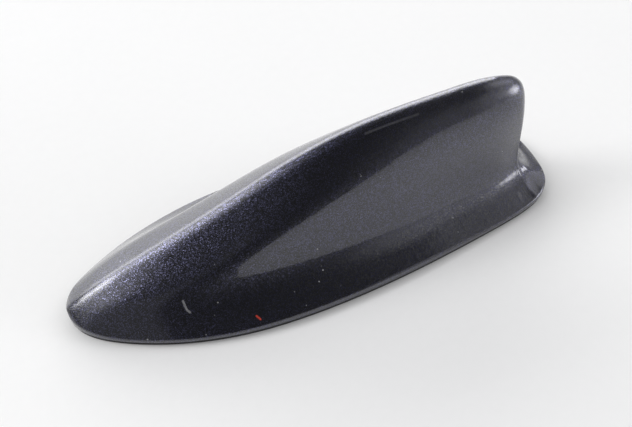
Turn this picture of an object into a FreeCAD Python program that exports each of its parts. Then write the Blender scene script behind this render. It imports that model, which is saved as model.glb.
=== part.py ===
import FreeCAD, Part
import os
import re
import Sketcher

doc = FreeCAD.newDocument("roof_antenna")
V = FreeCAD.Vector

# Sizes in mm. Stations run back from the nose tip, heights run up from the roof.
sizes = [
    ("fin_length", 172.0),
    ("fin_width", 59.8),
    ("fin_height", 49.7),
    ("inside_length", 172.0),
    ("wall", 2.4),
    ("lip_round", 0.9),
    ("pad_height", 1.6),
    ("pad_inset", 0.5),
    ("pad_rim", 7.0),
    ("pad_recess", 0.8),
    ("rim_gap", 0.2),
    ("base_clear", 0.4),
    ("base_inset", 6.0),
    ("base_thick", 3.0),
    ("boss_station", 97.0),
    ("boss_side", 15.0),
    ("boss_lift", 0.4),
    ("boss_clear", 0.3),
    ("boss_top_radius", 6.5),
    ("boss_top_rise", 2.8),
    ("bolt_radius", 3.0),
    ("bolt_depth", 6.0),
    ("seal_side", 25.0),
    ("seal_thick", 0.7),
    ("gland_station", 117.0),
    ("gland_radius", 4.8),
    ("gland_clear", 0.2),
    ("gland_flange", 6.4),
    ("gland_flange_thick", 1.4),
    ("gland_bore", 2.4),
    ("front_screw_station", 38.0),
    ("rear_screw_station", 118.0),
    ("pillar_clear", 0.6),
    ("pillar_radius", 3.0),
    ("screw_radius", 1.25),
    ("screw_clear", 0.15),
    ("screw_length", 9.5),
    ("pilot_short", 0.8),
    ("seat_clear", 0.1),
    ("screw_head_radius", 2.7),
    ("screw_head_height", 1.5),
    ("head_clear", 0.3),
    ("post_height", 3.4),
    ("post_radius", 2.6),
    ("post_front_station", 51.0),
    ("post_rear_station", 129.5),
    ("post_offset", 6.2),
    ("board_front_station", 46.0),
    ("board_length", 88.0),
    ("board_width", 18.0),
    ("board_thick", 1.2),
    ("board_screw_radius", 0.9),
    ("board_screw_head", 2.0),
    ("board_screw_head_height", 1.2),
    ("board_screw_length", 4.4),
    ("can_front_station", 79.0),
    ("can_length", 16.0),
    ("can_width", 15.0),
    ("can_height", 4.5),
    ("sheet_thick", 0.5),
    ("patch_front_station", 56.0),
    ("patch_length", 20.0),
    ("patch_width", 16.6),
    ("tray_height", 2.8),
    ("patch_board_thick", 0.8),
    ("ceramic_side", 14.6),
    ("ceramic_thick", 4.0),
    ("electrode_side", 11.5),
    ("electrode_thick", 0.3),
    ("socket_station", 124.4),
    ("socket_side", 3.8),
    ("socket_height", 3.2),
    ("socket_pitch", 6.8),
    ("socket_hole", 1.0),
    ("coil_station", 101.0),
    ("former_radius", 2.6),
    ("former_share", 0.4),
    ("coil_radius", 3.9),
    ("coil_clear", 0.1),
    ("coil_margin", 4.0),
    ("wire_pitch", 1.6),
    ("holder_thick", 3.0),
    ("holder_leg_station", 106.0),
    ("holder_leg_length", 4.0),
    ("holder_front_station", 94.0),
    ("holder_rear_station", 151.0),
    ("holder_front_drop", 12.2),
    ("holder_rear_drop", 7.6),
    ("holder_belly", 16.0),
    ("holder_arm", 5.6),
    ("holder_foot_station", 137.0),
    ("holder_foot_length", 11.0),
    ("holder_foot_width", 8.0),
    ("holder_foot_thick", 2.0),
    ("holder_heel_length", 4.5),
    ("element_width", 4.6),
    ("element_flap", 8.0),
    ("leaf_width", 2.0),
    ("foam_front_station", 108.0),
    ("foam_length", 34.0),
    ("foam_width", 3.2),
    ("foam_thick", 2.4),
]
sheet = doc.addObject("Spreadsheet::Sheet", "sizes")
for row, (name, number) in enumerate(sizes, 1):
    sheet.set("A%d" % row, name)
    sheet.set("B%d" % row, str(number))
    sheet.setAlias("B%d" % row, name)
doc.recompute()
names = [name for name, number in sizes]


def size(name):
    return float(sheet.get(name))


def bind(obj, prop, text):
    def on_sheet(found):
        word = found.group(0)
        return "sizes." + word if word in names else word
    obj.setExpression(prop, re.sub(r"[a-z][a-z_]*", on_sheet, text))


# Heights and offsets shared by several pieces, as expressions on the sheet.
rim_z = "(pad_height + rim_gap)"
base_top = "(pad_height + base_thick)"
board_z = "(pad_height + base_thick + post_height)"
board_top = "(pad_height + base_thick + post_height + board_thick)"
screw_offset = "(board_width / 2 + pillar_radius + pillar_clear)"
former_height = "(fin_height * former_share)"
holder_front_height = "(fin_height - holder_front_drop)"
holder_rear_height = "(fin_height - holder_rear_drop)"


def x_at(station):
    # the inside keeps its distance from the tail, whatever the fin's length
    return "(inside_length - fin_length / 2 - (%s))" % station


def x_from_nose(station):
    return "(fin_length / 2 - (%s))" % station


def place(obj, x, y, z):
    bind(obj, "Placement.Base.x", x)
    bind(obj, "Placement.Base.y", y)
    bind(obj, "Placement.Base.z", z)
    return obj


def box(name, x, y, z, length, width, height):
    obj = doc.addObject("Part::Box", name)
    bind(obj, "Length", length)
    bind(obj, "Width", width)
    bind(obj, "Height", height)
    return place(obj, x, y, z)


def block(name, station, z, length, width, height, y="0"):
    # a box centred on y, its front face at the station
    x = "%s - (%s)" % (x_at(station), length)
    return box(name, x, "(%s) - (%s) / 2" % (y, width), z, length, width, height)


def rod(name, x, y, z, radius, height):
    obj = doc.addObject("Part::Cylinder", name)
    bind(obj, "Radius", radius)
    bind(obj, "Height", height)
    return place(obj, x, y, z)


def cut(name, base, tool):
    obj = doc.addObject("Part::Cut", name)
    obj.Base = base
    obj.Tool = tool
    return obj


def fuse(name, shapes):
    obj = doc.addObject("Part::MultiFuse", name)
    obj.Shapes = shapes
    return obj


def common(name, shapes):
    obj = doc.addObject("Part::MultiCommon", name)
    obj.Shapes = shapes
    return obj


def group(name, shapes):
    obj = doc.addObject("Part::Compound", name)
    obj.Links = shapes
    return obj


def side_profile(name, points, width):
    # a body padded both ways from the middle plane, its outline given as (station, height) expressions
    body = doc.addObject("PartDesign::Body", name)
    plane = [f for f in body.Origin.OriginFeatures if f.Role == "XZ_Plane"][0]
    sketch = body.newObject("Sketcher::SketchObject", name + "_outline")
    sketch.AttachmentSupport = [(plane, "")]
    sketch.MapMode = "FlatFace"
    count = len(points)
    for i in range(count):
        sketch.addGeometry(Part.LineSegment(V(i, i * i, 0), V(i + 1, (i + 1) * (i + 1), 0)), False)
    for i in range(count):
        sketch.addConstraint(Sketcher.Constraint("Coincident", i, 2, (i + 1) % count, 1))
    for i, (station, height) in enumerate(points):
        for axis, text in (("DistanceX", x_at(station)), ("DistanceY", height)):
            number = sketch.addConstraint(Sketcher.Constraint(axis, -1, 1, i, 1, 1.0))
            bind(sketch, "Constraints[%d]" % number, text)
    pad = body.newObject("PartDesign::Pad", name + "_pad")
    pad.Profile = sketch
    bind(pad, "Length", width)
    pad.Midplane = True
    return body


# The fin's form, drawn once and then taken to the sheet's length, width and height.
# Each rib is half a control polygon, from the crest to past the rim.
front_ribs = [
    # station, crest height, then half-width and drop of the brow and of the shoulder,
    # then waist, wall, foot and hem, each as half-width and height
    (-12, 0.5, 0.9, 0.3, 7.0, 2.4, 8.6, -3.0, 10.2, -4.4, 13.0, -7.5, 18.0, -13.0),
    (6, 9.9, 1.0, 0.4, 6.2, 2.7, 8.0, 6.0, 9.8, 4.8, 11.6, 2.9, 16.0, -1.4),
    (24, 18.5, 1.8, 0.9, 10.2, 4.9, 12.9, 11.2, 15.4, 8.5, 19.2, 4.6, 27.0, -2.2),
    (48, 28.9, 3.4, 2.4, 12.7, 8.2, 15.3, 16.8, 17.8, 11.6, 23.8, 5.2, 34.0, 0.4),
    (82, 43.5, 3.6, 2.5, 13.0, 10.5, 15.3, 24.0, 17.2, 15.0, 23.4, 6.8, 34.0, 1.9),
    (110, 48.6, 3.2, 0.6, 10.8, 11.0, 13.0, 25.5, 15.2, 14.0, 20.8, 6.6, 32.0, 2.2),
    (134, 49.7, 3.2, 0.3, 8.9, 9.2, 10.1, 26.0, 11.6, 12.6, 16.4, 6.2, 28.4, 1.9),
]
# the tail ribs fan round the top corner, down the trailing edge and out over the tail flange
tail_ribs = [
    [(152, 0, 48.8), (152, 3, 48.4), (151.6, 7.7, 40.6),
     (151.5, 8.2, 26), (151.5, 8.4, 12), (152, 12.8, 5.8), (154, 25.2, 1.8)],
    [(158.9, 0, 45.2), (158.7, 2.8, 44.6), (157.4, 6.8, 37.2),
     (157.4, 6.7, 24), (157.4, 6.6, 12), (158.6, 11, 5.8), (160.5, 23.5, 2)],
    [(160.6, 0, 30), (160.4, 2.4, 29), (159.3, 6.2, 24),
     (159.5, 6.5, 17), (159.8, 6.8, 10.8), (161.3, 11, 5.6), (164, 23, 2.2)],
    [(162.4, 0, 14.4), (162.2, 2.6, 13.8), (162, 6.2, 11.4),
     (162.2, 7.2, 9.4), (162.6, 8.2, 7.4), (164.4, 12.4, 5), (167.5, 22.6, 2.4)],
    [(166, 0, 8), (166, 2.8, 7.8), (166, 7.2, 7),
     (166.2, 8.6, 6.4), (166.5, 10, 5.8), (168, 14.2, 4.4), (171, 22.6, 2.6)],
    [(172, 0, 5.2), (172, 3, 5.2), (172.2, 7.6, 4.9),
     (172.5, 9.4, 4.7), (172.8, 11.2, 4.4), (174.4, 15.6, 3.7), (178, 23, 2.6)],
    [(177, 0, 4.3), (177, 3, 4.3), (177.2, 7.8, 4),
     (177.5, 9.7, 3.9), (177.8, 11.6, 3.7), (179.4, 16, 3.2), (183, 23.4, 2.4)],
]
# half of the plan outline as control points of station and half-width, nose to tail
outline_points = [
    (0, 0), (0, 7.4), (14, 18.2), (50, 31), (100, 29.6),
    (140, 23.6), (171, 18.4), (172, 7.5), (172, 0),
]


def spline(points):
    curve = Part.BSplineCurve()
    curve.buildFromPoles(points, False, 3)
    return curve.toShape()


# the drawing's own length, width and height
drawn_length = outline_points[-1][0]
drawn_outline = spline([V(s, w, 0) for s, w in outline_points])
drawn_width = 2 * max(point.y for point in drawn_outline.discretize(200))
drawn_height = max(rib[1] for rib in front_ribs)


def half_rib(rib):
    s, h, brow, brow_drop, shoulder, drop = rib[:6]
    top = [(0, h), (brow, h - brow_drop), (shoulder, h - drop)]
    side = list(zip(rib[6::2], rib[7::2]))
    return [(s, y, z) for y, z in top + side]


def to_size(point):
    s, y, z = point
    x = size("fin_length") / 2 - s * size("fin_length") / drawn_length
    return V(x, y * size("fin_width") / drawn_width, z * size("fin_height") / drawn_height)


def skin_grid(inset):
    # full ribs, right hem over the crest to left hem, each point set in along the local normal
    grid = []
    for half in [half_rib(rib) for rib in front_ribs] + tail_ribs:
        left = [to_size(p) for p in half]
        right = [V(p.x, -p.y, p.z) for p in left[:0:-1]]
        grid.append(right + left)
    if inset == 0:
        return grid
    inner = []
    last = len(grid) - 1
    for i, rib in enumerate(grid):
        moved = []
        for j, point in enumerate(rib):
            along = grid[min(i + 1, last)][j] - grid[max(i - 1, 0)][j]
            across = rib[min(j + 1, len(rib) - 1)] - rib[max(j - 1, 0)]
            normal = across.cross(along).normalize()
            moved.append(point - normal * inset)
        inner.append(moved)
    return inner


def skin(name, inset):
    # the lofted surface, and the space above it
    ribs = []
    for number, points in enumerate(skin_grid(inset)):
        rib = doc.addObject("Part::Feature", "%s_rib_%02d" % (name, number))
        rib.Shape = Part.Wire([spline(points)])
        ribs.append(rib)
    loft = doc.addObject("Part::Loft", name + "_loft")
    loft.Sections = ribs
    loft.Solid = False
    loft.Ruled = False
    above = doc.addObject("Part::Extrusion", name + "_above")
    above.Base = loft
    above.DirMode = "Custom"
    above.Dir = V(0, 0, 1)
    above.Solid = True
    bind(above, "LengthFwd", "fin_height * 2")
    return above


def plan_prism(name, inset, z, height):
    # the plan outline, set in by a named amount and raised from a height
    scale_x = size("fin_length") / drawn_length
    scale_y = size("fin_width") / drawn_width
    half = [V(size("fin_length") / 2 - s * scale_x, w * scale_y, 0) for s, w in outline_points]
    ends = [V(half[1].x, -half[1].y, 0)] + half + [V(half[-2].x, -half[-2].y, 0)]
    left = []
    for i, point in enumerate(half):
        along = ends[i + 2] - ends[i]
        normal = V(-along.y, along.x, 0).normalize()
        left.append(point + normal * inset)
    left[0].y = 0
    left[-1].y = 0
    right = [V(p.x, -p.y, 0) for p in reversed(left)]
    outline = doc.addObject("Part::Feature", name + "_outline")
    outline.Shape = Part.Wire([spline(left), spline(right)])
    prism = doc.addObject("Part::Extrusion", name)
    prism.Base = outline
    prism.DirMode = "Custom"
    prism.Dir = V(0, 0, 1)
    prism.Solid = True
    bind(prism, "LengthFwd", height)
    bind(prism, "Placement.Base.z", z)
    return prism


nodes = []


def keep(obj, label):
    # give a finished sub-part its file name
    obj.Label = label
    nodes.append(obj)
    return obj


# Places of the fasteners.
front_screw_x = x_from_nose("front_screw_station")
rear_screw_x = x_at("rear_screw_station")
cover_screw_spots = [
    (front_screw_x, screw_offset),
    (front_screw_x, "-" + screw_offset),
    (rear_screw_x, screw_offset),
    (rear_screw_x, "-" + screw_offset),
]
board_screw_spots = [
    (x_at("post_front_station"), "post_offset"),
    (x_at("post_front_station"), "-post_offset"),
    (x_at("post_rear_station"), "post_offset"),
    (x_at("post_rear_station"), "-post_offset"),
]
heel_station = "(holder_foot_station + holder_foot_length - holder_heel_length / 2 - 0.5)"


def rods(name, spots, z, radius, height):
    return [rod("%s_%d" % (name, i), x, y, z, radius, height) for i, (x, y) in enumerate(spots)]


# Cover: outline block cut by the lofted skin, rounded at the lip, hollowed, with four screw pillars.
cover_raw = cut("cover_raw", plan_prism("cover_block", 0, rim_z, "fin_height * 1.4"), skin("outer_skin", 0))
doc.recompute()
cover_outer = doc.addObject("Part::Fillet", "cover_outer")
cover_outer.Base = cover_raw
rim_height = size("pad_height") + size("rim_gap")
lip_edges = []
for number, edge in enumerate(cover_raw.Shape.Edges, 1):
    if edge.Length > size("fin_length") / 2 and edge.BoundBox.ZMin > rim_height + 0.2:
        lip_edges.append((number, size("lip_round"), size("lip_round")))
cover_outer.Edges = lip_edges
cover_cavity = cut(
    "cover_cavity",
    plan_prism("cavity_block", size("wall"), "-fin_height / 4", "fin_height * 1.7"),
    skin("inner_skin", size("wall")))
cover_shell = cut("cover_shell", cover_outer, cover_cavity)
pillar_rods = fuse(
    "pillar_rods", rods("pillar_rod", cover_screw_spots, base_top, "pillar_radius", "fin_height"))
pillars = common("pillars", [pillar_rods, cover_raw])
cover_solid = fuse("cover_solid", [cover_shell, pillars])
pilots = fuse("pilots", rods(
    "pilot", cover_screw_spots, base_top, "screw_radius + screw_clear", "screw_length - pilot_short"))
keep(cut("fin_cover", cover_solid, pilots), "fin_cover")

# Rubber pad: follows the rim, hollowed underneath, open for the boss, the leads and the screw heads.
pad_block = plan_prism("pad_block", size("pad_inset"), "0", "pad_height")
pad_under = plan_prism(
    "pad_under", size("pad_inset") + size("pad_rim"), "-pad_height", "pad_height + pad_recess")
pad_boss_hole = block(
    "pad_boss_hole", "boss_station - boss_side / 2 - boss_clear", "-1",
    "boss_side + 2 * boss_clear", "boss_side + 2 * boss_clear", "pad_height + 2")
pad_gland_hole = rod("pad_gland_hole", x_at("gland_station"), "0", "-1", "gland_flange", "pad_height + 2")
pad_screw_holes = rods(
    "pad_screw_hole", cover_screw_spots, "-1", "screw_head_radius + head_clear", "pad_height + 2")
pad_holes = fuse("pad_holes", [pad_under, pad_boss_hole, pad_gland_hole] + pad_screw_holes)
keep(cut("rubber_pad", pad_block, pad_holes), "rubber_pad")

# Base plate: die-cast, with the fixing boss, the board posts and the holes for screws and leads.
base_sheet = cut(
    "base_sheet",
    plan_prism("base_block", size("base_inset"), "pad_height", "base_thick"),
    skin("base_skin", size("wall") + size("base_clear")))
boss_foot = block(
    "boss_foot", "boss_station - boss_side / 2", "boss_lift",
    "boss_side", "boss_side", "pad_height - boss_lift + base_thick / 2")
boss_top = rod("boss_top", x_at("boss_station"), "0", base_top, "boss_top_radius", "boss_top_rise")
posts = rods("post", board_screw_spots, base_top, "post_radius", "post_height")
base_solid = fuse("base_solid", [base_sheet, boss_foot, boss_top] + posts)
bolt_hole = rod("bolt_hole", x_at("boss_station"), "0", "boss_lift - 1", "bolt_radius", "bolt_depth + 1")
through = "base_thick + pad_height + 1"
gland_hole = rod("gland_hole", x_at("gland_station"), "0", "0", "gland_radius + gland_clear", through)
screw_holes = rods("screw_hole", cover_screw_spots, "0", "screw_radius + head_clear", through)
head_seat_z = "(pad_height + screw_head_height + seat_clear)"
head_seats = rods("head_seat", cover_screw_spots, "0", "screw_head_radius + head_clear", head_seat_z)
post_holes = rods(
    "post_hole", board_screw_spots, board_z + " - board_screw_length + board_thick / 2",
    "board_screw_radius + screw_clear", "board_screw_length")
heel_hole = rod(
    "heel_hole", x_at(heel_station), "0", "pad_height + base_thick / 5",
    "board_screw_radius + screw_clear", "base_thick")
base_holes = fuse("base_holes", [bolt_hole, gland_hole, heel_hole] + screw_holes + head_seats + post_holes)
keep(cut("base_plate", base_solid, base_holes), "base_plate")

# Foam seal round the boss, under the pad.
seal_block = block(
    "seal_block", "boss_station - seal_side / 2", "pad_recess - seal_thick",
    "seal_side", "seal_side", "seal_thick")
seal_hole = block(
    "seal_hole", "boss_station - boss_side / 2 - boss_clear", "-1",
    "boss_side + 2 * boss_clear", "boss_side + 2 * boss_clear", "pad_height + 2")
keep(cut("boss_seal", seal_block, seal_hole), "boss_seal")

# Rubber gland for the leads, pushed in from above.
gland_body = rod("gland_body", x_at("gland_station"), "0", "pad_height", "gland_radius", "base_thick + 0.2")
gland_top = rod("gland_top", x_at("gland_station"), "0", base_top, "gland_flange", "gland_flange_thick")
gland_lead = rod("gland_lead", x_at("gland_station"), "0", "0", "gland_bore", "base_thick * 4")
keep(cut("cable_gland", fuse("gland_solid", [gland_body, gland_top]), gland_lead), "cable_gland")

# Main board and what is soldered to it.
board_sheet = block(
    "board_sheet", "board_front_station", board_z, "board_length", "board_width", "board_thick")
board_lead_hole = rod("board_lead_hole", x_at("gland_station"), "0", "0", "gland_radius", "fin_height")
board_holes = rods("board_hole", board_screw_spots, "0", "board_screw_radius + head_clear", "fin_height")
keep(cut("main_board", board_sheet, fuse("board_cuts", [board_lead_hole] + board_holes)), "main_board")


def tray(name, station, z, length, width, height):
    # a folded can, open underneath
    outside = block(name + "_outside", station, z, length, width, height)
    inside = block(
        name + "_inside", "%s + sheet_thick" % station, "%s - sheet_thick" % z,
        "%s - 2 * sheet_thick" % length, "%s - 2 * sheet_thick" % width, height)
    return cut(name, outside, inside)


keep(tray(
    "shield_can", "can_front_station", board_top, "can_length", "can_width", "can_height"), "shield_can")
keep(tray(
    "patch_tray", "patch_front_station", board_top,
    "patch_length", "patch_width", "tray_height"), "patch_tray")
patch_z = board_top + " + tray_height"
keep(block(
    "patch_board", "patch_front_station", patch_z,
    "patch_length", "patch_width", "patch_board_thick"), "patch_board")
patch_middle = "patch_front_station + patch_length / 2"
ceramic_z = patch_z + " + patch_board_thick"
keep(block(
    "patch_ceramic", patch_middle + " - ceramic_side / 2", ceramic_z,
    "ceramic_side", "ceramic_side", "ceramic_thick"), "patch_ceramic")
keep(block(
    "patch_electrode", patch_middle + " - electrode_side / 2", ceramic_z + " + ceramic_thick",
    "electrode_side", "electrode_side", "electrode_thick"), "patch_electrode")


def socket(name, y):
    body = block(
        name + "_body", "socket_station - socket_side / 2", board_top,
        "socket_side", "socket_side", "socket_height", y)
    hole = rod(
        name + "_hole", x_at("socket_station"), y, board_top + " + socket_height / 3",
        "socket_hole", "socket_height")
    return cut(name, body, hole)


keep(group("coax_sockets", [
    socket("socket_left", "socket_pitch / 2"),
    socket("socket_right", "-socket_pitch / 2")]), "coax_sockets")

# Coil: former standing on the board, and the winding as one ridged solid round it.
keep(rod(
    "coil_former", x_at("coil_station"), "0", board_top, "former_radius", former_height), "coil_former")
coil_height = size("fin_height") * size("former_share") - size("coil_margin")
turns = int(coil_height / size("wire_pitch"))
wire_radius = size("wire_pitch") / 2
inner_radius = size("former_radius") + size("coil_clear")
start = V(inner_radius, 0, 0)
ridges = [Part.LineSegment(V(inner_radius, 0, size("wire_pitch") * turns), start).toShape()]
ridges.append(Part.LineSegment(start, V(size("coil_radius") - wire_radius, 0, 0)).toShape())
for turn in range(turns):
    low = size("wire_pitch") * turn
    ring = size("coil_radius") - wire_radius
    turn_top = V(ring, 0, low + 2 * wire_radius)
    turn_out = V(ring + wire_radius, 0, low + wire_radius)
    ridges.append(Part.Arc(V(ring, 0, low), turn_out, turn_top).toShape())
ridges.append(Part.LineSegment(
    V(size("coil_radius") - wire_radius, 0, size("wire_pitch") * turns),
    V(inner_radius, 0, size("wire_pitch") * turns)).toShape())
coil_section = doc.addObject("Part::Feature", "coil_section")
coil_section.Shape = Part.Face(Part.Wire(ridges))
winding = doc.addObject("Part::Revolution", "winding")
winding.Source = coil_section
winding.Axis = V(0, 0, 1)
winding.Angle = 360
winding.Solid = True
place(winding, x_at("coil_station"), "0", board_top + " + 1")
keep(winding, "loading_coil")

# Upright holder, with a leg on the board and a screwed heel on the base.
slope = "((holder_front_drop - holder_rear_drop) / (holder_rear_station - holder_front_station))"


def top_line(station, lift="0"):
    climb = "((%s) - holder_front_station) * %s" % (station, slope)
    return "(%s + %s + (%s))" % (holder_front_height, climb, lift)


leg_end = "holder_leg_station + holder_leg_length"
heel_start = "holder_foot_station"
heel_end = "holder_foot_station + holder_heel_length"
holder_web = side_profile("holder_web", [
    ("holder_front_station", top_line("holder_front_station")),
    ("holder_rear_station", top_line("holder_rear_station")),
    ("holder_rear_station", holder_rear_height + " * 0.7"),
    (heel_end, "holder_belly"),
    (heel_end, base_top),
    (heel_start, base_top),
    (heel_start, "holder_belly"),
    (leg_end, "holder_belly"),
    (leg_end, board_top),
    ("holder_leg_station", board_top),
    ("holder_leg_station", top_line("holder_leg_station", "-holder_arm")),
    ("holder_front_station", top_line("holder_front_station", "-holder_arm")),
], "holder_thick")
window = side_profile("holder_window", [
    ("holder_leg_station + 7", "holder_belly + 4"),
    ("holder_foot_station - 1", "holder_belly + 4"),
    ("holder_foot_station + 3", holder_front_height + " * 0.8"),
    ("holder_leg_station + 3", holder_front_height + " * 0.74"),
], "holder_thick * 2")
heel = block(
    "holder_heel", "holder_foot_station", base_top,
    "holder_foot_length", "holder_foot_width", "holder_foot_thick")
heel_screw_hole = rod(
    "heel_screw_hole", x_at(heel_station), "0", "0",
    "board_screw_radius + head_clear", base_top + " + holder_foot_thick + seat_clear")
holder_solid = cut("holder_solid", fuse("holder_fused", [holder_web, heel]), window)
heel_clear = rod(
    "heel_clear", x_at(heel_station), "0", base_top + " + holder_foot_thick",
    "board_screw_head + head_clear", "board_screw_head_height * 1.5")
heel_cuts = fuse("heel_cuts", [heel_screw_hole, heel_clear])
keep(cut("element_holder", holder_solid, heel_cuts), "element_holder")

# Folded top element: a channel lying on the holder's sloping top edge.
element_front = "holder_front_station + 1"
element_rear = "holder_rear_station - 1"
element_outside = side_profile("element_outside", [
    (element_front, top_line(element_front, "sheet_thick")),
    (element_rear, top_line(element_rear, "sheet_thick")),
    (element_rear, top_line(element_rear, "-element_flap")),
    (element_front, top_line(element_front, "-element_flap")),
], "element_width")
element_inside = side_profile("element_inside", [
    ("holder_front_station - 5", top_line("holder_front_station - 5")),
    ("holder_rear_station + 5", top_line("holder_rear_station + 5")),
    ("holder_rear_station + 5", top_line("holder_rear_station + 5", "-2 * element_flap")),
    ("holder_front_station - 5", top_line("holder_front_station - 5", "-2 * element_flap")),
], "element_width - 2 * sheet_thick")
keep(cut("top_element", element_outside, element_inside), "top_element")

# Contact leaf from the coil former up between the element's flaps.
leaf_front = "coil_station - leaf_width / 2"
leaf_rear = "coil_station + leaf_width / 2"
former_top = board_top + " + " + former_height
leaf = side_profile("leaf", [
    (leaf_front, former_top),
    (leaf_rear, former_top),
    (leaf_rear, top_line(leaf_rear, "-holder_arm")),
    (leaf_front, top_line(leaf_front, "-holder_arm")),
], "element_width - 2 * sheet_thick")
keep(leaf, "feed_leaf")

# Foam strip on the element, just short of the cover.
foam_rear = "foam_front_station + foam_length"
foam = side_profile("foam", [
    ("foam_front_station", top_line("foam_front_station", "sheet_thick")),
    (foam_rear, top_line(foam_rear, "sheet_thick")),
    (foam_rear, top_line(foam_rear, "sheet_thick + foam_thick")),
    ("foam_front_station", top_line("foam_front_station", "sheet_thick + foam_thick")),
], "foam_width")
keep(foam, "anti_rattle_foam")


# Fasteners, each kind one group of separate solids.
def screw(name, x, y, seat, shank, length, head, head_height, up):
    # the head's seat is the height where it bears, the shank runs away from it
    if up:
        head_z, shank_z = "(%s) - (%s)" % (seat, head_height), "(%s) - 0.2" % seat
    else:
        head_z, shank_z = seat, "(%s) - (%s)" % (seat, length)
    head_rod = rod(name + "_head", x, y, head_z, head, head_height)
    shank_rod = rod(name + "_shank", x, y, shank_z, shank, "(%s) + 0.2" % length)
    return fuse(name, [head_rod, shank_rod])


cover_screws = []
for i, (x, y) in enumerate(cover_screw_spots):
    cover_screws.append(screw(
        "cover_screw_%d" % i, x, y, head_seat_z,
        "screw_radius", "screw_length", "screw_head_radius", "screw_head_height", True))
keep(group("cover_screws", cover_screws), "cover_screws")
board_screws = []
for i, (x, y) in enumerate(board_screw_spots):
    board_screws.append(screw(
        "board_screw_%d" % i, x, y, board_top,
        "board_screw_radius", "board_screw_length", "board_screw_head", "board_screw_head_height", False))
keep(group("board_screws", board_screws), "board_screws")
keep(screw(
    "heel_screw", x_at(heel_station), "0", base_top + " + holder_foot_thick",
    "board_screw_radius", "board_screw_length - seat_clear * 4",
    "board_screw_head", "board_screw_head_height", False), "holder_screw")

doc.recompute()
for obj in doc.Objects:
    if "Invalid" in obj.State or "Error" in obj.State:
        raise RuntimeError("%s did not build: %s" % (obj.Name, obj.State))
for obj in nodes:
    if obj.Shape.isNull() or not obj.Shape.isValid():
        raise RuntimeError("%s has no valid shape" % obj.Label)
os.makedirs("parts", exist_ok=True)
for obj in nodes:
    obj.Shape.exportStep("parts/%s.step" % obj.Label)
    print(obj.Label, len(obj.Shape.Solids), round(obj.Shape.Volume, 1))
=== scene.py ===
import bpy
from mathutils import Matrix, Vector


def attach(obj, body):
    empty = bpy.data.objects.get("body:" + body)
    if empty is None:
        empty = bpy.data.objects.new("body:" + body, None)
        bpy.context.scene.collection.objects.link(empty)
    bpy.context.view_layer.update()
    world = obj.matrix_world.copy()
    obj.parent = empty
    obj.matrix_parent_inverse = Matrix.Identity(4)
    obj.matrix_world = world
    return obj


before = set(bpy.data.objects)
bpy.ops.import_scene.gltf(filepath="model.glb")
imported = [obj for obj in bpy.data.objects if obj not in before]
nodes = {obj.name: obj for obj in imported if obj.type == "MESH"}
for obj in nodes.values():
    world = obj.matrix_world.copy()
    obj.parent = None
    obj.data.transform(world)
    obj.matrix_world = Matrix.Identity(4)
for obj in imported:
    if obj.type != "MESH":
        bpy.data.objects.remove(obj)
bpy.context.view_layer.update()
scene = bpy.context.scene
print("frame loaded,", len(nodes), "nodes")


def opaque(colour):
    return (*colour, 1)


def addNode(tree, kind, **settings):
    node = tree.nodes.new(kind)
    for name, value in settings.items():
        setattr(node, name, value)
    return node


# an underscore in a keyword stands for a space in the socket's name
def setInputs(node, **values):
    for label, value in values.items():
        node.inputs[label.replace("_", " ")].default_value = value


# a value is another node's output, a plain number or vector, or None to leave the socket alone
def feed(tree, sockets, values):
    for socket, value in zip(sockets, values):
        if isinstance(value, bpy.types.NodeSocket):
            tree.links.new(value, socket)
        elif value is not None:
            socket.default_value = value


def mathNode(tree, operation, first, second=None, clamp=False):
    node = addNode(tree, "ShaderNodeMath", operation=operation, use_clamp=clamp)
    feed(tree, node.inputs, (first, second))
    return node.outputs[0]


def vectorNode(tree, operation, first, second=None):
    node = addNode(tree, "ShaderNodeVectorMath", operation=operation)
    feed(tree, node.inputs, (first, second))
    return node.outputs["Value" if operation in ("LENGTH", "DOT_PRODUCT") else "Vector"]


def scaleVector(tree, vector, factor):
    node = addNode(tree, "ShaderNodeVectorMath", operation="SCALE")
    feed(tree, (node.inputs[0], node.inputs["Scale"]), (vector, factor))
    return node.outputs["Vector"]


mixSockets = {"VECTOR": (4, 5, 1), "RGBA": (6, 7, 2)}  # where a mix node keeps both inputs and the result


def mixNode(tree, kind, factor, first, second):
    node = addNode(tree, "ShaderNodeMix", data_type=kind)
    firstPlace, secondPlace, resultPlace = mixSockets[kind]
    sockets = (node.inputs[0], node.inputs[firstPlace], node.inputs[secondPlace])
    feed(tree, sockets, (factor, first, second))
    return node.outputs[resultPlace]


def ramp(tree, value, stops):
    node = addNode(tree, "ShaderNodeValToRGB")
    elements = node.color_ramp.elements
    while len(elements) < len(stops):
        elements.new(0.5)
    for element, (place, colour) in zip(elements, stops):
        element.position = place
        element.color = opaque(colour)
    tree.links.new(value, node.inputs["Fac"])
    return node.outputs["Color"]


def objectCoords(tree):
    return addNode(tree, "ShaderNodeTexCoord").outputs["Object"]


def noise(tree, vector, scale, detail):
    node = addNode(tree, "ShaderNodeTexNoise")
    sockets = (node.inputs["Vector"], node.inputs["Scale"], node.inputs["Detail"])
    feed(tree, sockets, (vector, scale, detail))
    return node.outputs["Fac"]


# cells of random colour: gives the cells' outputs and the parts of their colour
def cellField(tree, scale):
    cells = addNode(tree, "ShaderNodeTexVoronoi", feature="F1")
    feed(tree, (cells.inputs["Vector"], cells.inputs["Scale"]), (objectCoords(tree), scale))
    parts = addNode(tree, "ShaderNodeSeparateColor")
    tree.links.new(cells.outputs["Color"], parts.inputs["Color"])
    return cells.outputs, parts.outputs


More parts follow.
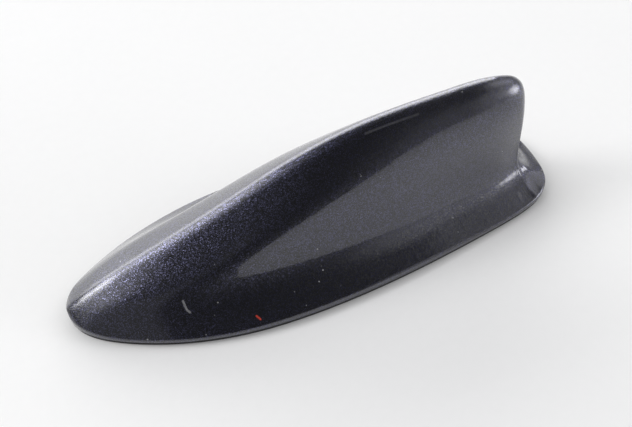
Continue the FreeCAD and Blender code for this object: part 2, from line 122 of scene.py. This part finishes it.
def newGroup(name, inputs, outputs):
    tree = bpy.data.node_groups.new(name, "ShaderNodeTree")
    for label, kind, value in inputs:
        socket = tree.interface.new_socket(name=label, in_out="INPUT", socket_type=kind)
        socket.default_value = value
    for label, kind in outputs:
        tree.interface.new_socket(name=label, in_out="OUTPUT", socket_type=kind)
    return tree, addNode(tree, "NodeGroupInput").outputs, addNode(tree, "NodeGroupOutput").inputs


def useGroup(tree, group, **values):
    node = addNode(tree, "ShaderNodeGroup", node_tree=group)
    setInputs(node, **values)
    return node


# grain of a moulded, cast or rolled surface: colour drift, roughness and fine height
grainMix = {"fineDetail": 4, "fineShare": 0.55, "broadDetail": 2, "broadShare": 0.45, "broadScale": 0.06}


def makeGrainField():
    tree, given, result = newGroup(
        "grainField",
        [("Dark", "NodeSocketColor", (0, 0, 0, 1)), ("Light", "NodeSocketColor", (1, 1, 1, 1)),
         ("Scale", "NodeSocketFloat", 900.0), ("Stretch", "NodeSocketVector", (1, 1, 1)),
         ("Rough Low", "NodeSocketFloat", 0.4), ("Rough High", "NodeSocketFloat", 0.6)],
        [("Color", "NodeSocketColor"), ("Roughness", "NodeSocketFloat"), ("Height", "NodeSocketFloat")])
    stretched = vectorNode(tree, "MULTIPLY", objectCoords(tree), given["Stretch"])
    fine = noise(tree, stretched, given["Scale"], grainMix["fineDetail"])
    broadScale = mathNode(tree, "MULTIPLY", given["Scale"], grainMix["broadScale"])
    broad = noise(tree, stretched, broadScale, grainMix["broadDetail"])
    blend = mathNode(tree, "ADD", mathNode(tree, "MULTIPLY", fine, grainMix["fineShare"]),
                     mathNode(tree, "MULTIPLY", broad, grainMix["broadShare"]))
    tree.links.new(mixNode(tree, "RGBA", blend, given["Dark"], given["Light"]), result["Color"])
    spread = mathNode(tree, "SUBTRACT", given["Rough High"], given["Rough Low"])
    rough = mathNode(tree, "ADD", given["Rough Low"], mathNode(tree, "MULTIPLY", spread, blend))
    tree.links.new(rough, result["Roughness"])
    tree.links.new(fine, result["Height"])
    return tree


# scattered specks of dust, only where a broad noise is high
specks = {"leastRadius": 0.3, "leastShade": 0.25, "driftScale": 45.0, "driftDetail": 2, "driftFrom": 0.47}


def makeDustField():
    tree, given, result = newGroup(
        "dustField",
        [("Scale", "NodeSocketFloat", 300.0), ("Radius", "NodeSocketFloat", 0.12),
         ("Share", "NodeSocketFloat", 0.2)],
        [("Mask", "NodeSocketFloat")])
    cells, pick = cellField(tree, given["Scale"])
    chosen = mathNode(tree, "LESS_THAN", pick["Red"], given["Share"])
    size = mathNode(tree, "ADD", pick["Green"], specks["leastRadius"])
    reach = mathNode(tree, "MULTIPLY", given["Radius"], size)
    inside = mathNode(tree, "LESS_THAN", cells["Distance"], reach)
    drift = noise(tree, objectCoords(tree), specks["driftScale"], specks["driftDetail"])
    dusty = mathNode(tree, "GREATER_THAN", drift, specks["driftFrom"])
    mask = mathNode(tree, "MULTIPLY", mathNode(tree, "MULTIPLY", chosen, inside), dusty)
    shade = mathNode(tree, "ADD", pick["Blue"], specks["leastShade"])
    tree.links.new(mathNode(tree, "MULTIPLY", mask, shade, True), result["Mask"])
    return tree


# a short stroke on the surface, full along the line from one end to the other and gone at its half-width
strokeEdge = 3.0  # the higher, the later it fades


def makeStrokeMark():
    tree, given, result = newGroup(
        "strokeMark",
        [("From", "NodeSocketVector", (0, 0, 0)), ("To", "NodeSocketVector", (0, 0, 1)),
         ("Half Width", "NodeSocketFloat", 0.0003)],
        [("Mask", "NodeSocketFloat")])
    fromPlace = vectorNode(tree, "SUBTRACT", objectCoords(tree), given["From"])
    line = vectorNode(tree, "SUBTRACT", given["To"], given["From"])
    along = vectorNode(tree, "DOT_PRODUCT", fromPlace, line)
    share = mathNode(tree, "DIVIDE", along, vectorNode(tree, "DOT_PRODUCT", line, line), True)
    gap = vectorNode(tree, "SUBTRACT", fromPlace, scaleVector(tree, line, share))
    fade = mathNode(tree, "DIVIDE", vectorNode(tree, "LENGTH", gap), given["Half Width"])
    full = mathNode(tree, "SUBTRACT", 1.0, mathNode(tree, "POWER", fade, strokeEdge), True)
    tree.links.new(full, result["Mask"])
    return tree


grainField = makeGrainField()
dustField = makeDustField()
strokeMark = makeStrokeMark()


def newMaterial(name):
    material = bpy.data.materials.new(name)
    material.use_nodes = True
    tree = material.node_tree
    return material, tree, tree.nodes["Principled BSDF"]


# fin paint: near-black navy with mica flakes under clear coat, dusty, lightly marked, and with a painted
# reflection streak along the top rear
paint = {
    "ground": (0.006, 0.006, 0.0075),
    "flakeDull": (0.03, 0.03, 0.036),
    "flakeBright": (0.135, 0.137, 0.23),
    "flakesPerMetre": 4600,
    "groundUpTo": 0.35,
    "dullAt": 0.6,
    "metalFrom": 0.2,
    "metalGain": 2.0,
    "flakeTilt": 0.25,
    "roughness": 0.34,
    "coatRoughness": 0.07,
    "coatIor": 1.5,
    "crestSoft": 0.004,
    "crestReach": 0.0075,
    "crestSamples": 8,
    "dust": (0.42, 0.42, 0.43),
    "dustPerMetre": 460.0,
    "dustRadius": 0.1,
    "dustShare": 0.2,
    "scratch": [(0.0517, 0.0156, 0.01185), (0.05157, 0.0167, 0.0105), (0.05135, 0.0177, 0.00945),
                (0.0507, 0.01845, 0.00875)],
    "scratchWidth": 0.00045,
    "scratchAndPaintedStreakColour": (0.2, 0.2, 0.205),
    # the next three entries are a pale streak along the top rear: a painted reflection, not a scratch
    "paintedStreak": [(-0.0155, 0.00256, 0.04645), (-0.0238, 0.0027, 0.0474), (-0.0335, 0.00287, 0.048)],
    "paintedStreakWidth": 0.00045,
    "paintedStreakShare": 0.3,
    "tick": [(0.0315, 0.0259, 0.00545), (0.0307, 0.0271, 0.0048)],
    "tickWidth": 0.00042,
    "tickColour": (0.5, 0.05, 0.03),
}


# one mask for the strokes along a row of points
def strokeRow(tree, points, halfWidth):
    mask = 0.0
    for first, second in zip(points, points[1:]):
        stroke = useGroup(tree, strokeMark, From=first, To=second, Half_Width=halfWidth)
        mask = mathNode(tree, "MAXIMUM", stroke.outputs["Mask"], mask)
    return mask


# the paint rounds off the crest: near the middle plane it is shaded with softened normals
def crestNormal(tree):
    soft = addNode(tree, "ShaderNodeBevel", samples=paint["crestSamples"])
    setInputs(soft, Radius=paint["crestSoft"])
    place = addNode(tree, "ShaderNodeSeparateXYZ")
    tree.links.new(objectCoords(tree), place.inputs[0])
    away = mathNode(tree, "ABSOLUTE", place.outputs["Y"])
    inside = mathNode(tree, "SUBTRACT", paint["crestReach"], away)
    share = mathNode(tree, "DIVIDE", inside, paint["crestReach"] - paint["crestSoft"], True)
    plain = addNode(tree, "ShaderNodeNewGeometry").outputs["Normal"]
    return mixNode(tree, "VECTOR", share, plain, soft.outputs["Normal"])


def makePaint():
    material, tree, shader = newMaterial("finPaint")
    cells, pick = cellField(tree, paint["flakesPerMetre"])
    flakes = ramp(tree, pick["Red"], [
        (0.0, paint["ground"]), (paint["groundUpTo"], paint["ground"]),
        (paint["dullAt"], paint["flakeDull"]), (1.0, paint["flakeBright"])])
    metal = mathNode(tree, "SUBTRACT", pick["Red"], paint["metalFrom"], True)
    metal = mathNode(tree, "MULTIPLY", metal, paint["metalGain"], True)
    normal = crestNormal(tree)
    tree.links.new(vectorNode(tree, "NORMALIZE", normal), shader.inputs["Coat Normal"])
    # each flake lies at its own slight tilt, and a mid-grey cell would lie flat
    tilt = vectorNode(tree, "SUBTRACT", cells["Color"], (0.5, 0.5, 0.5))
    tilted = vectorNode(tree, "ADD", normal, scaleVector(tree, tilt, paint["flakeTilt"]))
    tree.links.new(vectorNode(tree, "NORMALIZE", tilted), shader.inputs["Normal"])
    # dust, a scratch, a short red stroke and a painted reflection streak along the top rear lie over the
    # coat
    dust = useGroup(tree, dustField, Scale=paint["dustPerMetre"], Radius=paint["dustRadius"],
                    Share=paint["dustShare"]).outputs["Mask"]
    scratch = strokeRow(tree, paint["scratch"], paint["scratchWidth"])
    # the thin pale streak along the top rear is a painted reflection, laid on at a share of the scratch
    # grey
    paintedStreak = strokeRow(tree, paint["paintedStreak"], paint["paintedStreakWidth"])
    paintedStreak = mathNode(tree, "MULTIPLY", paintedStreak, paint["paintedStreakShare"])
    scratchAndPaintedStreak = mathNode(tree, "MAXIMUM", scratch, paintedStreak)
    tick = strokeRow(tree, paint["tick"], paint["tickWidth"])
    colour = mixNode(tree, "RGBA", dust, flakes, opaque(paint["dust"]))
    # the scratch and the painted reflection streak take the same grey
    colour = mixNode(tree, "RGBA", scratchAndPaintedStreak, colour, opaque(paint["scratchAndPaintedStreakColour"]))
    colour = mixNode(tree, "RGBA", tick, colour, opaque(paint["tickColour"]))
    tree.links.new(colour, shader.inputs["Base Color"])
    cover = mathNode(tree, "MAXIMUM", mathNode(tree, "MAXIMUM", dust, scratchAndPaintedStreak), tick)
    clean = mathNode(tree, "SUBTRACT", 1.0, cover, True)
    tree.links.new(mathNode(tree, "MULTIPLY", metal, clean), shader.inputs["Metallic"])
    tree.links.new(clean, shader.inputs["Coat Weight"])
    setInputs(shader, Roughness=paint["roughness"], Coat_Roughness=paint["coatRoughness"],
              Coat_IOR=paint["coatIor"])
    return material


# every other finish is a grain over a colour, with its own scale and shine
finishes = {
    "padRubber": dict(dark=(0.012, 0.012, 0.012), light=(0.024, 0.024, 0.025),
                      scale=1400, rough=(0.55, 0.8), bump=0.2),
    "glandRubber": dict(dark=(0.012, 0.012, 0.012), light=(0.03, 0.03, 0.03),
                        scale=1800, rough=(0.5, 0.7), bump=0.2),
    "sealFoam": dict(dark=(0.012, 0.012, 0.012), light=(0.05, 0.05, 0.05),
                     scale=2600, rough=(0.85, 1.0), bump=0.8),
    "castMetal": dict(dark=(0.36, 0.37, 0.38), light=(0.62, 0.63, 0.64),
                      scale=1100, rough=(0.38, 0.6), bump=0.35, metal=1),
    "tinnedSheet": dict(dark=(0.55, 0.56, 0.56), light=(0.72, 0.73, 0.72),
                        scale=700, rough=(0.22, 0.4), bump=0.08, metal=1, stretch=(1, 9, 9)),
    "silverFace": dict(dark=(0.66, 0.66, 0.64), light=(0.8, 0.8, 0.78),
                       scale=2200, rough=(0.3, 0.5), bump=0.1, metal=1),
    "screwSteel": dict(dark=(0.34, 0.34, 0.35), light=(0.55, 0.55, 0.56),
                       scale=1600, rough=(0.25, 0.45), bump=0.1, metal=1),
    "coilWire": dict(dark=(0.42, 0.17, 0.07), light=(0.66, 0.32, 0.15),
                     scale=900, rough=(0.22, 0.4), bump=0.05, metal=1),
    "springStrip": dict(dark=(0.6, 0.44, 0.2), light=(0.76, 0.6, 0.32),
                        scale=800, rough=(0.25, 0.42), bump=0.05, metal=1, stretch=(6, 6, 1)),
    "boardResist": dict(dark=(0.012, 0.09, 0.035), light=(0.03, 0.17, 0.07),
                        scale=800, rough=(0.28, 0.42), bump=0.1),
    "groundCeramic": dict(dark=(0.5, 0.46, 0.37), light=(0.66, 0.62, 0.52),
                          scale=2400, rough=(0.6, 0.8), bump=0.15),
    "paleMoulding": dict(dark=(0.62, 0.58, 0.48), light=(0.78, 0.74, 0.64),
                         scale=1500, rough=(0.4, 0.55), bump=0.1),
    "darkMoulding": dict(dark=(0.025, 0.025, 0.027), light=(0.06, 0.06, 0.064),
                         scale=1700, rough=(0.42, 0.6), bump=0.2),
}
grainDepth = 0.0002


def makeFinish(name):
    look = finishes[name]
    material, tree, shader = newMaterial(name)
    roughLow, roughHigh = look["rough"]
    grain = useGroup(tree, grainField, Dark=opaque(look["dark"]), Light=opaque(look["light"]),
                     Scale=look["scale"], Stretch=look.get("stretch", (1, 1, 1)),
                     Rough_Low=roughLow, Rough_High=roughHigh).outputs
    tree.links.new(grain["Color"], shader.inputs["Base Color"])
    tree.links.new(grain["Roughness"], shader.inputs["Roughness"])
    bump = addNode(tree, "ShaderNodeBump")
    setInputs(bump, Strength=look["bump"], Distance=grainDepth)
    tree.links.new(grain["Height"], bump.inputs["Height"])
    tree.links.new(bump.outputs["Normal"], shader.inputs["Normal"])
    setInputs(shader, Metallic=look.get("metal", 0))
    return material


# which finish each piece wears
wears = {
    "fin_cover": "finPaint", "rubber_pad": "padRubber", "base_plate": "castMetal",
    "boss_seal": "sealFoam", "cable_gland": "glandRubber", "main_board": "boardResist",
    "shield_can": "tinnedSheet", "patch_tray": "tinnedSheet", "patch_board": "boardResist",
    "patch_ceramic": "groundCeramic", "patch_electrode": "silverFace", "coax_sockets": "paleMoulding",
    "coil_former": "darkMoulding", "loading_coil": "coilWire", "element_holder": "darkMoulding",
    "top_element": "tinnedSheet", "feed_leaf": "springStrip", "anti_rattle_foam": "sealFoam",
    "cover_screws": "screwSteel", "board_screws": "screwSteel", "holder_screw": "screwSteel",
}
materials = {"finPaint": makePaint()}
for name in finishes:
    materials[name] = makeFinish(name)
for node, name in wears.items():
    slots = nodes[node].data.materials
    slots.clear()
    slots.append(materials[name])
print("finishes on,", len(materials), "materials")


# drives of the underside's screws: a collar with a six-sided socket on each head
drives = {
    "spots": [(0.048, 0.0126), (0.048, -0.0126), (-0.032, 0.0126), (-0.032, -0.0126)],
    "face": 0.0017,
    "sunk": 0.0001,
    "depth": 0.0006,
    "collar": 0.0025,
    "collarSides": 40,
    "socket": 0.0014,
    "socketSides": 6,
    "punchLength": 0.01,
}


def makeDriveTree():
    tree = bpy.data.node_groups.new("screwDrives", "GeometryNodeTree")
    for label, kind in (("Spots", "NodeSocketGeometry"), ("Collar Radius", "NodeSocketFloat"),
                        ("Socket Radius", "NodeSocketFloat"), ("Depth", "NodeSocketFloat"),
                        ("Finish", "NodeSocketMaterial")):
        tree.interface.new_socket(name=label, in_out="INPUT", socket_type=kind)
    tree.interface.new_socket(name="Drives", in_out="OUTPUT", socket_type="NodeSocketGeometry")
    given = addNode(tree, "NodeGroupInput").outputs
    result = addNode(tree, "NodeGroupOutput").inputs
    collar = addNode(tree, "GeometryNodeMeshCylinder")
    setInputs(collar, Vertices=drives["collarSides"])
    tree.links.new(given["Collar Radius"], collar.inputs["Radius"])
    tree.links.new(given["Depth"], collar.inputs["Depth"])
    punch = addNode(tree, "GeometryNodeMeshCylinder")
    setInputs(punch, Vertices=drives["socketSides"], Depth=drives["punchLength"])
    tree.links.new(given["Socket Radius"], punch.inputs["Radius"])
    pierced = addNode(tree, "GeometryNodeMeshBoolean", operation="DIFFERENCE")
    tree.links.new(collar.outputs["Mesh"], pierced.inputs["Mesh 1"])
    tree.links.new(punch.outputs["Mesh"], pierced.inputs["Mesh 2"])
    points = addNode(tree, "GeometryNodeMeshToPoints")
    tree.links.new(given["Spots"], points.inputs["Mesh"])
    copies = addNode(tree, "GeometryNodeInstanceOnPoints")
    tree.links.new(points.outputs["Points"], copies.inputs["Points"])
    tree.links.new(pierced.outputs["Mesh"], copies.inputs["Instance"])
    real = addNode(tree, "GeometryNodeRealizeInstances")
    tree.links.new(copies.outputs["Instances"], real.inputs["Geometry"])
    finish = addNode(tree, "GeometryNodeSetMaterial")
    tree.links.new(real.outputs["Geometry"], finish.inputs["Geometry"])
    tree.links.new(given["Finish"], finish.inputs["Material"])
    tree.links.new(finish.outputs["Geometry"], result["Drives"])
    return tree


def makeDrives():
    middle = drives["face"] + drives["sunk"] - drives["depth"] / 2
    spots = bpy.data.meshes.new("driveSpots")
    spots.from_pydata([(x, y, middle) for x, y in drives["spots"]], [], [])
    carrier = bpy.data.objects.new("driveSpots", spots)
    scene.collection.objects.link(carrier)
    modifier = carrier.modifiers.new("screwDrives", "NODES")
    tree = makeDriveTree()
    modifier.node_group = tree
    sizes = {"Collar Radius": drives["collar"], "Socket Radius": drives["socket"],
             "Depth": drives["depth"], "Finish": materials["screwSteel"]}
    for item in tree.interface.items_tree:
        if item.name in sizes:
            modifier[item.identifier] = sizes[item.name]
    evaluated = carrier.evaluated_get(bpy.context.evaluated_depsgraph_get())
    mesh = bpy.data.meshes.new_from_object(evaluated)
    bpy.data.objects.remove(carrier)
    piece = bpy.data.objects.new("screw_drives", mesh)
    scene.collection.objects.link(piece)
    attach(piece, "root")


makeDrives()
print("screw drives on")


# pale floor, part of it a glow that the camera and reflections see, with the shadow kept
floorLook = {
    "half": 14.0,
    "drop": 0.0002,
    "dark": (0.85, 0.85, 0.84),
    "light": (0.91, 0.91, 0.9),
    "grainScale": 300.0,
    "roughness": 0.9,
    "specular": 0.2,
    "glow": 0.96,
    "glowColour": (1, 1, 0.99),
    "glowShare": 0.34,
    "contact": 0.03,
}


def makeFloor():
    half, low = floorLook["half"], -floorLook["drop"]
    mesh = bpy.data.meshes.new("floor")
    corners = [(-half, -half, low), (half, -half, low), (half, half, low), (-half, half, low)]
    mesh.from_pydata(corners, [], [(0, 1, 2, 3)])
    floor = bpy.data.objects.new("floor", mesh)
    scene.collection.objects.link(floor)
    material, tree, shader = newMaterial("floorPale")
    grain = useGroup(tree, grainField, Dark=opaque(floorLook["dark"]), Light=opaque(floorLook["light"]),
                     Scale=floorLook["grainScale"]).outputs
    tree.links.new(grain["Color"], shader.inputs["Base Color"])
    setInputs(shader, Roughness=floorLook["roughness"], Specular_IOR_Level=floorLook["specular"])
    glow = addNode(tree, "ShaderNodeEmission")
    setInputs(glow, Color=opaque(floorLook["glowColour"]))
    # the glow gives way near the object, so that the contact shadow stays
    near = addNode(tree, "ShaderNodeAmbientOcclusion")
    setInputs(near, Distance=floorLook["contact"])
    strength = mathNode(tree, "MULTIPLY", near.outputs["AO"], floorLook["glow"])
    tree.links.new(strength, glow.inputs["Strength"])
    path = addNode(tree, "ShaderNodeLightPath").outputs
    mirrored = mathNode(tree, "MAXIMUM", path["Is Glossy Ray"], path["Is Transmission Ray"])
    seen = mathNode(tree, "MAXIMUM", path["Is Camera Ray"], mirrored)
    blend = addNode(tree, "ShaderNodeMixShader")
    tree.links.new(mathNode(tree, "MULTIPLY", seen, floorLook["glowShare"]), blend.inputs["Fac"])
    tree.links.new(shader.outputs[0], blend.inputs[1])
    tree.links.new(glow.outputs[0], blend.inputs[2])
    tree.links.new(blend.outputs[0], tree.nodes["Material Output"].inputs["Surface"])
    mesh.materials.append(material)


makeFloor()


def aim(item, place, target):
    item.location = place
    item.rotation_euler = (Vector(target) - Vector(place)).to_track_quat("-Z", "Y").to_euler()
    scene.collection.objects.link(item)


# soft lamps: a square one high beyond the nose, a broad one on the far side
lights = {
    "noseLamp": dict(place=(2.66, -0.98, 2.07), size=(1.05, 1.05), power=49.0),
    "farLamp": dict(place=(0.0, -3.3, 1.16), size=(5.4, 2.1), power=166.0),
}
lampAim = (0, 0, 0.02)


def makeLight(name):
    look = lights[name]
    data = bpy.data.lights.new(name, "AREA")
    data.shape = "RECTANGLE"
    data.size, data.size_y = look["size"]
    data.energy = look["power"]
    aim(bpy.data.objects.new(name, data), look["place"], lampAim)


for name in lights:
    makeLight(name)

# the room round the lamps: dark walls with a few paler patches that the paint mirrors
room = {"level": 0.05, "tint": (1.0, 1.0, 1.05)}
patches = {
    "tailWall": dict(towards=(-0.9, 0.05, 0.3), reach=(0.58, 0.63, 0.71), soft=0.08, level=0.55),
    "tailSpot": dict(towards=(-0.87, 0.46, 0.18), reach=(0.1, 0.15, 0.11), soft=1.2, level=8.5),
    "tailGlow": dict(towards=(-0.77, -0.08, 0.64), reach=(0.22, 0.3, 0.2), soft=0.6, level=1.6),
    "ridgeGlow": dict(towards=(0.66, -0.09, 0.745), reach=(0.15, 0.1, 0.1), soft=3.0, level=2.2),
    "crestGlow": dict(towards=(0.586, -0.4, 0.705), reach=(0.1, 0.15, 0.09), soft=1.5, level=5.5),
    "hipGlow": dict(towards=(-0.749, 0.629, 0.208), reach=(0.4, 0.3, 0.36), soft=0.5, level=0.55),
    "noseWall": dict(towards=(0.749, 0.468, 0.469), reach=(0.42, 0.42, 0.22), soft=0.3, level=0.3),
}


def makeRoom():
    world = bpy.data.worlds.new("room")
    world.use_nodes = True
    scene.world = world
    tree = world.node_tree
    direction = addNode(tree, "ShaderNodeTexCoord").outputs["Generated"]
    level = room["level"]
    for patch in patches.values():
        offset = vectorNode(tree, "SUBTRACT", direction, patch["towards"])
        away = vectorNode(tree, "LENGTH", vectorNode(tree, "DIVIDE", offset, patch["reach"]))
        fade = mathNode(tree, "SUBTRACT", 1.0 + patch["soft"], away)
        share = mathNode(tree, "DIVIDE", fade, patch["soft"], True)
        level = mathNode(tree, "MAXIMUM", mathNode(tree, "MULTIPLY", share, patch["level"]), level)
    background = tree.nodes["Background"]
    setInputs(background, Color=opaque(room["tint"]))
    tree.links.new(level, background.inputs["Strength"])


makeRoom()
print("floor and light in place")


# camera at the photograph's viewing angle
view = {"eye": (0.07467, 0.17296, 0.24592), "aim": (-0.00388, -0.0088, 0.0), "lens": 51.07,
        "sensor": 36.0, "nearClip": 0.01}
cameraData = bpy.data.cameras.new("camera")
cameraData.sensor_fit = "HORIZONTAL"
cameraData.sensor_width = view["sensor"]
cameraData.lens = view["lens"]
cameraData.clip_start = view["nearClip"]
camera = bpy.data.objects.new("camera", cameraData)
aim(camera, view["eye"], view["aim"])
scene.camera = camera
scene.view_settings.view_transform = "Standard"
